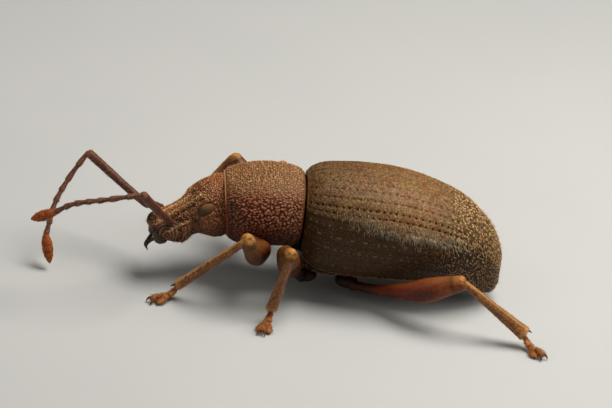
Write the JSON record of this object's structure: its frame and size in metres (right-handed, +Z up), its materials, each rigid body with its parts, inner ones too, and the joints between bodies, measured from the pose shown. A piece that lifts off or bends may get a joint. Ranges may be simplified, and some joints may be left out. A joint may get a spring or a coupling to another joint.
{
  "type": "otiorhynchus weevil",
  "caption": "Still life-size model of a flightless red-legged weevil standing on its feet, with elbowed clubbed antennae, granulate pronotum and grooved oval elytra.",
  "frame": {"origin": "centre of the bounding box at floor level, midway between its ends and its sides", "axes": "+X towards the tail, -X towards the head, +Z up, -Y on the animal's left"},
  "size_m": [0.0178, 0.009, 0.0044],
  "materials": {
    "shell": "satin olive-brown chitin with rows of dark punctures",
    "thorax": "satin red-brown chitin with dense round granules",
    "head": "satin purple-brown chitin, finely wrinkled",
    "eye": "dark grey, faceted, soft gloss",
    "mandible": "near-black brown, polished",
    "antenna": "purple-brown with pale short hairs",
    "club": "orange-brown, velvety",
    "femur": "glossy red-brown chitin",
    "tibia": "brown with yellowish bristles",
    "tarsus": "orange-brown with pale hairy soles"
  },
  "bodies": {
    "root": {"pronotum": "thorax", "elytra": "shell", "metathorax": "thorax", "abdomen": "shell", "head": "head", "rostrum": "head", "eye_left": "eye", "eye_right": "eye", "mandible_left": "mandible", "mandible_right": "mandible", "scape_left": "antenna", "funicle_left": "antenna", "club_left": "club", "scape_right": "antenna", "funicle_right": "antenna", "club_right": "club", "coxa_front_left": "thorax", "femur_front_left": "femur", "tibia_front_left": "tibia", "tarsus_front_left": "tarsus", "coxa_mid_left": "thorax", "femur_mid_left": "femur", "tibia_mid_left": "tibia", "tarsus_mid_left": "tarsus", "coxa_hind_left": "thorax", "femur_hind_left": "femur", "tibia_hind_left": "tibia", "tarsus_hind_left": "tarsus", "coxa_front_right": "thorax", "femur_front_right": "femur", "tibia_front_right": "tibia", "tarsus_front_right": "tarsus", "coxa_mid_right": "thorax", "femur_mid_right": "femur", "tibia_mid_right": "tibia", "tarsus_mid_right": "tarsus", "coxa_hind_right": "thorax", "femur_hind_right": "femur", "tibia_hind_right": "tibia", "tarsus_hind_right": "tarsus"}
  },
  "joints": []
}
